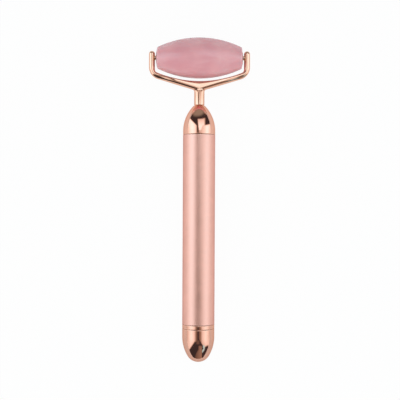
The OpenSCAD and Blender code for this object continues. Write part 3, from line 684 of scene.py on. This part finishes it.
def stem():
    """The stem with its flare into the bow, and the screwed end that the nut holds."""
    low, neck = heights("fork")[0], heights("nose_cap")[1]
    shoulder = neck - SHOULDER_DROP
    flare, top = 0.9, APEX_Z + 1.9
    flare_z = APEX_Z + math.tan(math.radians(BOW_SLOPE)) * STEM_R - flare
    straight_z, thread_z = flare_z - 0.5, shoulder - 0.6
    foot = eased([(0, low, 0), (BOLT_R, low, 0.35), (BOLT_R, low + 1, 0)])[:-1]
    bolt = stack(BOLT_R, low + 0.6, thread_z, step=0.06)
    base = eased([(BOLT_R, thread_z, 0), (BOLT_R, shoulder, 0.05), (STEM_R, shoulder, 0.12),
                  (STEM_R, neck - 0.1, 0.05), (STEM_R - 0.5, neck + 0.15, 0.05),
                  (STEM_R, neck + 0.45, 0.05), (STEM_R, straight_z, 0)])[1:-1]
    up = [(STEM_R, straight_z, 0)]
    for i in range(9):
        rise = flare * i / 10
        up.append((STEM_R + flare - math.sqrt(flare ** 2 - rise ** 2), flare_z + rise, 0))
    up += [(STEM_R, APEX_Z + 1, 0), (STEM_R - 0.1, top, 0), (0, top, 0)]
    cut = thread(low + 0.2, thread_z, BOLT_PITCH, depth=0.36)
    square_from, square_over, deeper = 1.5, 2.2, 0.02

    def carve(r, h, a):
        if h < shoulder - 0.5:
            return cut(r, h, a) if abs(r - BOLT_R) < 0.01 else r
        c, s = abs(math.cos(a)), abs(math.sin(a))
        if r > STEM_R:
            r = STEM_R + (r - STEM_R) * c ** 2
        share = smooth_step((h - APEX_Z + square_from) / square_over)
        square = 2 + 2 * share
        return r * (c ** square + s ** square) ** (-1 / square) * (1 + deeper * share * s ** 2)

    return turned(foot + bolt + base + up, carve=carve, round_steps=96)


def joined(one, two):
    """Two closed meshes made one, so that no face is left inside."""
    parts = []
    for bm in (one, two):
        bmesh.ops.recalc_face_normals(bm, faces=bm.faces)
        mesh = bpy.data.meshes.new("part")
        bm.to_mesh(mesh)
        bm.free()
        part = bpy.data.objects.new("part", mesh)
        bpy.context.scene.collection.objects.link(part)
        parts.append(part)
    work = parts[0].modifiers.new("join", "BOOLEAN")
    work.operation, work.solver, work.object = "UNION", "EXACT", parts[1]
    bpy.context.view_layer.update()
    whole = parts[0].evaluated_get(bpy.context.evaluated_depsgraph_get())
    bm = bmesh.new()
    bm.from_mesh(whole.to_mesh())
    whole.to_mesh_clear()
    for part in parts:
        bpy.data.objects.remove(part)
    return bm


def fork():
    """The loft and the stem as one casting."""
    new_piece("fork_polished", joined(fork_loft(), stem()), "handle", "champagne_plate",
              ["fork"], sharp=22)


def washer_and_nut():
    """A washer with eased edges, and a hexagon nut that is chamfered at both ends."""
    low, top = heights("fork_washer")
    outer = radius("fork_washer")
    bm = turned(eased([(BOLT_HOLE_R, low, 0.08), (outer, low, 0.15), (outer, top, 0.15),
                       (BOLT_HOLE_R, top, 0.08)]))
    new_piece("fork_washer_plain", bm, "handle", "fastener_steel", ["fork_washer"])
    low, top = heights("fork_nut")
    corner_r, chamfer = radius("fork_nut"), 0.45
    flat_r = corner_r * math.cos(math.pi / 6)
    ends = [(BOLT_HOLE_R + chamfer, low, 0), (flat_r, low, 0), (corner_r, low + chamfer, 1),
            (corner_r, top - chamfer, 1), (flat_r, top, 0), (BOLT_HOLE_R + chamfer, top, 0),
            (BOLT_HOLE_R, top - chamfer, 0)]

    def hexagon(r, a):
        return min(r, flat_r / math.cos(a % (math.pi / 3) - math.pi / 6)) if r > 3 else r

    inner = list(reversed(stack(BOLT_HOLE_R, low + chamfer, top - 0.5, step=0.06)))
    cut = thread(low + chamfer, top - chamfer, BOLT_PITCH, depth=0.3, outward=False)
    carve = lambda r, h, a: cut(r, h, a) if r < 2.1 else hexagon(r, a)
    bm = turned(ends + inner, carve=carve, round_steps=96)
    new_piece("fork_nut_hexagon", bm, "handle", "fastener_steel", ["fork_nut"], sharp=25)


def along_pivot(node):
    """Where a node starts and ends along X, and its radius round the stone's axis."""
    low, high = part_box(node)
    return low[0] / MM, high[0] / MM, (high[2] - low[2]) / 2 / MM


def pivots():
    """A pin in each arm, and the bushing in the stone that turns on it."""
    for side in ("left", "right"):
        low, high, r = along_pivot(side + "_pivot_pin")
        outline = eased([(0, low, 0), (r, low, 0.18), (r, high, 0.18), (0, high, 0)])
        new_piece(side + "_pivot_pin_round", turned(outline, on_pivot, round_steps=64), "handle",
                  "pin_steel", [side + "_pivot_pin"])
        low, high, outer = along_pivot(side + "_bushing")
        inner = r + RUNNING_FIT
        outline = eased([(inner, low, 0.12), (outer, low, 0.15), (outer, high, 0.15),
                         (inner, high, 0.12)])
        new_piece(side + "_bushing_turned", turned(outline, on_pivot, round_steps=64), "roller",
                  "bushing_brass", [side + "_bushing"])


def cap_spring():
    """One wire: a leg on the seat, a quarter bend, the coil, a bend and a leg."""
    low, high = heights("cap_spring")
    wire, bend, wide, narrow = 0.7, 0.7, 5.0, 2.5
    turns, turn_steps, bend_steps = 5, 48, 6
    coil_low, coil_high = low + wire + bend, high - wire - bend
    quarter = [math.radians(90 * i / bend_steps) for i in range(bend_steps + 1)]
    path = [Vector((wide, 0, low))]
    path += [Vector((wide, bend * (1 - math.cos(b)), coil_low - bend + bend * math.sin(b)))
             for b in quarter]
    for i in range(1, turns * turn_steps):
        t = i / (turns * turn_steps)
        r = wide + (narrow - wide) * t
        a = 2 * math.pi * turns * t + math.atan(bend / r) * (1 - 2 * t)
        path.append(Vector((r * math.cos(a), r * math.sin(a),
                            coil_low + (coil_high - coil_low) * t)))
    path += [Vector((narrow, -bend * (1 - math.sin(b)), coil_high + bend - bend * math.cos(b)))
             for b in quarter]
    path.append(Vector((narrow, 0, high)))
    sides = [Vector((p.x, p.y, 0)).normalized() for p in path]
    new_piece("cap_spring_wire", swept(path, sides, wire / 2), "spring", "spring_steel",
              ["cap_spring"])


def spring_seat():
    """A post with a flange, and a countersunk hole at its end."""
    low, high = heights("spring_seat")
    flange_r, flange_h = radius("spring_seat"), 1.2
    post_r, sink_r, sink = 4.0, 1.0, 0.6
    outline = eased([(0, low, 0), (flange_r, low, 0.15), (flange_r, low + flange_h, 0.15),
                     (post_r, low + flange_h, 0.12), (post_r, high, 0.3), (sink_r, high, 0.1),
                     (0, high - sink, 0)])
    new_piece("spring_seat_turned", turned(outline), "cap", "seat_brass", ["spring_seat"])


def aa_cell():
    """A steel can with a nub, in a shrunk jacket that turns in over both rims."""
    low, top = heights("aa_cell")
    r, nub_r, nub = radius("aa_cell"), 2.7, 1.1
    can_r, rim_r, foot_r, lip_r, jacket_in = 6.4, 6.0, 3.6, 5.6, 6.45
    body_top = top - nub
    can = eased([(0, low + 0.12, 0), (3.4, low + 0.12, 0.1), (foot_r, low, 0.1),
                 (rim_r, low, 0.3), (can_r, low + 0.3, 0.2), (can_r, body_top - 0.3, 0.2),
                 (rim_r, body_top, 0.3), (4.4, body_top - 0.1, 0.1),
                 (nub_r + 0.5, body_top - 0.1, 0.2), (nub_r, body_top + 0.2, 0.1),
                 (nub_r, top, 0.35), (0, top, 0)])
    new_piece("aa_cell_can", turned(can), "cell", "can_steel", ["aa_cell"])
    jacket = eased([(r, low + 0.08, 0.45), (r, body_top - 0.08, 0.45), (lip_r, body_top, 0.05),
                    (lip_r, body_top - 0.12, 0), (jacket_in, body_top - 0.35, 0.1),
                    (jacket_in, low + 0.35, 0.1), (lip_r, low + 0.12, 0), (lip_r, low, 0.05)])
    new_piece("aa_cell_jacket", turned(jacket), "cell", "cell_jacket", ["aa_cell"])


# What stays as it was drawn, with softened edges

KEPT = {
    "battery_sleeve": "sleeve_plastic", "contact_holder": "holder_plastic",
    "contact_plate": "contact_gold", "ground_clip": "contact_gold",
    "positive_lead": "lead_red", "negative_lead": "lead_black",
    "motor_carrier": "sleeve_plastic", "motor_can": "can_steel",
    "motor_end_bell": "bell_plastic", "motor_terminals": "contact_gold",
    "motor_shaft": "fastener_steel", "eccentric_weight": "weight_tungsten",
}


def kept_nodes():
    """Gives each kept node its finish, and softens its edges."""
    soft_edge, sharpest = 0.08, 40
    for node, slot in KEPT.items():
        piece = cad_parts[node]
        piece.data.materials.clear()
        piece.data.materials.append(finish_of(slot))
        soft = piece.modifiers.new("soft edges", "BEVEL")
        soft.width, soft.segments, soft.limit_method = soft_edge * MM, 2, "ANGLE"
        soft.angle_limit = math.radians(sharpest)


# The studio, as directions from the handle: x to its right, y to the head, z up. Two soft
# boxes run along it with a dark gap between them, and a pale panel hangs over the head.

BRIGHTEST = 2.5
HEAD_LIGHT = [(-1, 1.15), (-0.93, 1.75), (-0.8, 2.0), (-0.6, 1.85), (-0.42, 1.45), (-0.3, 0.58),
              (-0.22, 0.06), (-0.06, 0.05), (0.08, 0.3), (0.27, 1.0), (0.5, 1.27), (0.68, 1.55),
              (0.8, 1.9), (0.92, 1.9), (1, 1.3)]
TAIL_LIGHT = [(-1, 0.75), (-0.93, 1.25), (-0.8, 1.7), (-0.65, 1.55), (-0.5, 1.28), (-0.4, 0.9),
              (-0.3, 0.38), (-0.2, 0.2), (-0.08, 0.09), (0.02, 0.07), (0.2, 0.24), (0.31, 0.36),
              (0.48, 1.05), (0.65, 1.3), (0.8, 1.55), (0.93, 1.35), (1, 0.9)]
PANEL_LIGHT = [(-1, 1.9), (0.11, 1.9), (0.17, 1.65), (0.25, 1.85), (0.3, 1.78), (0.45, 1.5),
               (0.6, 1.12), (1, 1)]
MIDDLE_LIGHT = [(-0.6, 1.3), (-0.35, 1.15), (-0.14, 0.85), (0, 0.68), (0.14, 0.7), (0.32, 0.6),
                (0.5, 1)]
TONES = [(0, (0, 0, 0)), (0.05, (0.055, 0.05, 0.055)), (0.12, (0.16, 0.12, 0.1)),
         (0.35, (0.44, 0.35, 0.28)), (0.9, (0.92, 0.9, 0.87)), (1.25, (1.2, 1.25, 1.27)),
         (1.6, (1.36, 1.6, 1.68)), (2, (1.5, 2, 2.25))]
WALL_GREEN, WINDOW_BLUE = (0.146, 0.156, 0.138, 1), (0.25, 0.46, 0.52, 1)

# The sides of each light. A side is a share of x and a share of y, the place along their sum
# where the light starts, and the place where it is full.
UPRIGHT_BOX = [(0, 1, 0.365, 0.275), (0.65, 1, -0.17, -0.09), (-0.55, 1, -0.96, -0.89)]
MIDDLE = [(0, 1, -0.08, 0), (0, 1, 0.075, 0.04)]
PANEL = [(0, 1, 0.05, 0.11), (0, 1, 0.68, 0.61)]
GAP_END = [(1, 0, -0.3, -0.15), (1, 0, 0.22, 0.12), (0, 1, -0.47, -0.42), (0, 1, -0.2, -0.27)]
CORNER = [(1, 0, -0.02, 0.12), (1, 0, 0.42, 0.3), (0, 1, -0.46, -0.56)]
TAIL_WALL = [(-0.5, 1, -0.62, -0.78), (1, 0, 0.47, 0.37)]
WINDOW = [(1, 0, 0.5, 0.57), (1, 0, 0.74, 0.67), (0, 1, -0.63, -0.57), (0, 1, -0.44, -0.5)]
WINDOW_SILL = [(-0.555, 0.832, -0.93, -0.89), (-0.555, 0.832, -0.81, -0.85),
               (1, 0, 0.43, 0.48), (1, 0, 0.70, 0.64)]


def stops(tree, value, colours):
    """A colour ramp with a stop at each (place from 0 to 1, red, green, blue)."""
    node = add(tree, "ValToRGB", {0: value})
    marks = node.color_ramp.elements
    for i, (at, *colour) in enumerate(colours):
        mark = marks[i] if i < 2 else marks.new(at)
        mark.position = at
        mark.color = (*colour, 1)
    return node.outputs[0]


def ramp(tree, value, levels):
    """Light over a range of places from -1 to 1."""
    greys = [((at + 1) / 2, *3 * [level / BRIGHTEST]) for at, level in levels]
    found = stops(tree, spread(tree, value, -1, 1, smooth=False), greys)
    return maths(tree, "MULTIPLY", found, BRIGHTEST)


def studio():
    """The world: soft boxes, panel, walls and window as the plating mirrors them."""
    world = bpy.data.worlds.new("studio")
    bpy.context.scene.world = world
    world.use_nodes = True
    tree = world.node_tree
    tree.nodes.clear()
    out = tree.nodes.new("ShaderNodeOutputWorld")
    x, y, z = add(tree, "SeparateXYZ", {0: add(tree, "TexCoord").outputs["Generated"]}).outputs

    def edge(along_x, along_y, start, full):
        """A soft edge across the studio: 0 before a line and 1 after it."""
        here = maths(tree, "MULTIPLY_ADD", x, along_x, maths(tree, "MULTIPLY", y, along_y))
        return spread(tree, here, start, full)

    def within(*covers):
        """What lies inside of every cover, each from 0 to 1."""
        cover = covers[0]
        for more in covers[1:]:
            cover = maths(tree, "MULTIPLY", cover, more)
        return cover

    def inside(sides):
        """1 inside of all the sides of a light, and 0 outside."""
        return within(*[edge(*side) for side in sides])

    def mixed(share, one, two):
        """The first level where the share is 0, and the second where it is 1."""
        return add(tree, "Mix", {0: share, 2: one, 3: two}).outputs[0]

    def lighter(*levels):
        """The lightest of the levels."""
        best = levels[0]
        for more in levels[1:]:
            best = maths(tree, "MAXIMUM", best, more)
        return best

    # The boxes along the handle, and the band of light in the gap between them
    boxes = mixed(edge(0, 1, -0.12, 0.06), ramp(tree, x, TAIL_LIGHT), ramp(tree, x, HEAD_LIGHT))
    boxes = maths(tree, "MULTIPLY", boxes, spread(tree, y, -0.5, -0.2, 0.78, 1, smooth=False))
    left = within(edge(0.39, 1, 0.25, 0.16),
                  lighter(edge(-0.68, 1, -0.08, 0.04), edge(0, 1, -0.37, -0.25)))
    boxes = within(boxes, mixed(edge(1, 0, -0.05, 0.0), left, inside(UPRIGHT_BOX)))
    middle = within(ramp(tree, x, MIDDLE_LIGHT), inside(MIDDLE))

    # The panel over the head, whose right side leans in and then steps out
    panel_left = edge(1, 0.25, -0.085, 0.065)
    panel_right = mixed(edge(0, 1, 0.27, 0.33), edge(1, -0.7, 0.26, 0.14), edge(1, 0, 0.74, 0.5))
    panel = within(ramp(tree, y, PANEL_LIGHT), panel_left, panel_right, inside(PANEL))

    # Weak lights at the tail, the pale horizon at the head, and the ground
    gap_end, corner = within(inside(GAP_END), 0.14), within(inside(CORNER), 0.25)
    tail_wall = within(inside(TAIL_WALL), maths(tree, "MULTIPLY_ADD", x, 0.3, 0.22))
    horizon = within(spread(tree, z, 0.28, 0.02), edge(0, 1, 0.65, 0.85), 0.8)
    ground = spread(tree, z, -0.01, 0.01, 0.9, 0.0)
    darkest = 0.05
    level = lighter(boxes, middle, panel, gap_end, corner, tail_wall, horizon, ground, darkest)
    tones = [(at / BRIGHTEST, *[share / BRIGHTEST for share in colour]) for at, colour in TONES]
    colour = stops(tree, maths(tree, "DIVIDE", level, BRIGHTEST), tones)

    # The wall and the window have colours of their own
    head_wall = within(edge(-0.08, 1, 0.71, 0.86), spread(tree, z, 0.05, 0.3))
    colour = blend_colours(tree, head_wall, colour, WALL_GREEN)
    colour = blend_colours(tree, lighter(inside(WINDOW), inside(WINDOW_SILL)), colour, WINDOW_BLUE)
    light = add(tree, "Background", {"Strength": BRIGHTEST, "Color": colour})
    plain = add(tree, "Background", {"Strength": 1.0, "Color": (1, 1, 1, 1)})
    seen = add(tree, "LightPath").outputs["Is Camera Ray"]
    both = add(tree, "MixShader", {0: seen, 1: light.outputs[0], 2: plain.outputs[0]})
    tree.links.new(both.outputs[0], out.inputs[0])


def floor():
    """Pale paper that the stone and the cap rest on. It lies level under each of them."""
    bm = bmesh.new()
    head, tail = PIVOT_Z - HALF, CAP_TOP - CAP_BAND - HALF
    tail_up = AXIS_UP - HANDLE_R
    wide, level = 3000.0, 4
    rows = [(-wide, tail_up), (tail - level, tail_up), (tail, tail_up), (head, 0),
            (head + level, 0), (wide, 0)]
    verts = [[bm.verts.new(Vector((x, y, z)) * MM) for x in (-wide, wide)] for y, z in rows]
    for one, two in zip(verts, verts[1:]):
        bm.faces.new((one[0], one[1], two[1], two[0]))
    mesh = bpy.data.meshes.new("floor")
    bm.to_mesh(mesh)
    bm.free()
    paper = bpy.data.objects.new("floor", mesh)
    bpy.context.scene.collection.objects.link(paper)
    finish, tree, shader = new_finish("pale paper")
    at = add(tree, "TexCoord").outputs["Object"]
    along = add(tree, "SeparateXYZ", {0: at}).outputs[1]
    fibre = add(tree, "TexNoise", {"Vector": at, "Scale": 900.0, "Detail": 3.0}).outputs[0]
    darker, paler = [(grey, grey, grey, 1) for grey in (0.71, 0.74)]
    tree.links.new(blend_colours(tree, fibre, darker, paler), shader.inputs["Base Color"])
    shader.inputs["Roughness"].default_value = 0.9
    shader.inputs["Specular IOR Level"].default_value = 0.0

    # White for the camera, and for what mirrors the paper a glow along the handle, dimmed towards
    # the tail and beyond the head as painted shade
    glow = add(tree, "Emission", {"Strength": 1.0, "Color": (1, 1, 1, 1)})
    path = add(tree, "LightPath").outputs
    mirrored = maths(tree, "MAXIMUM", path["Is Glossy Ray"], path["Is Transmission Ray"])
    painted_shade_level, handle_glow, head_glow, picture_white = 0.15, 0.7, 0.15, 0.96
    bright = maths(tree, "ADD", spread(tree, along, -90 * MM, -55 * MM, painted_shade_level, handle_glow),
                   spread(tree, along, 25 * MM, 40 * MM, 0.0, head_glow))
    bright = maths(tree, "MULTIPLY", bright, spread(tree, along, 84 * MM, 95 * MM, 1.0, painted_shade_level))
    share = maths(tree, "MAXIMUM", maths(tree, "MULTIPLY", path["Is Camera Ray"], picture_white),
                  maths(tree, "MULTIPLY", mirrored, bright))
    both = add(tree, "MixShader", {0: share, 1: shader.outputs[0], 2: glow.outputs[0]})
    tree.links.new(both.outputs[0], tree.nodes["Material Output"].inputs[0])
    mesh.materials.append(finish)


def camera():
    """Straight above, as far away as the picture's perspective says, and turned a little."""
    sensor, focal_pixels, picture_pixels = 36, 930, 400
    right, forward, up, turn = 0.59, -0.15, 477, 0.26
    lens = bpy.data.cameras.new("camera")
    lens.sensor_width = sensor
    lens.lens = focal_pixels / picture_pixels * sensor
    lens.clip_start, lens.clip_end = 0.01, 20
    eye = bpy.data.objects.new("camera", lens)
    bpy.context.scene.collection.objects.link(eye)
    eye.location = (right * MM, forward * MM, (AXIS_UP + up) * MM)
    eye.rotation_euler = (0, 0, math.radians(turn))
    bpy.context.scene.camera = eye


def fill_lamps():
    """Two wide soft lamps, a strong one at the tail's side and a weak one at the head's.

    They light the stone and the mouldings, and the plating doesn't mirror them.
    """
    size, aside, up, tilt = 1.2, 0.75, 0.5, 56
    for name, energy, side in (("tail fill", 6.0, -1), ("head fill", 1.4, 1)):
        lamp = bpy.data.lights.new(name, "AREA")
        lamp.shape, lamp.size, lamp.size_y = "RECTANGLE", size, size
        lamp.energy = energy
        body = bpy.data.objects.new(name, lamp)
        body.location = (0, aside * side, up)
        body.rotation_euler = (-side * math.radians(tilt), 0, 0)
        body.visible_glossy = False
        bpy.context.scene.collection.objects.link(body)


bpy.context.scene.view_settings.view_transform = "Standard"
for build in (handle_tube, nose_cap, threaded_collar, end_cap, o_ring, roller_stone, fork,
              washer_and_nut, pivots, cap_spring, spring_seat, aa_cell, kept_nodes,
              studio, floor, camera, fill_lamps):
    build()
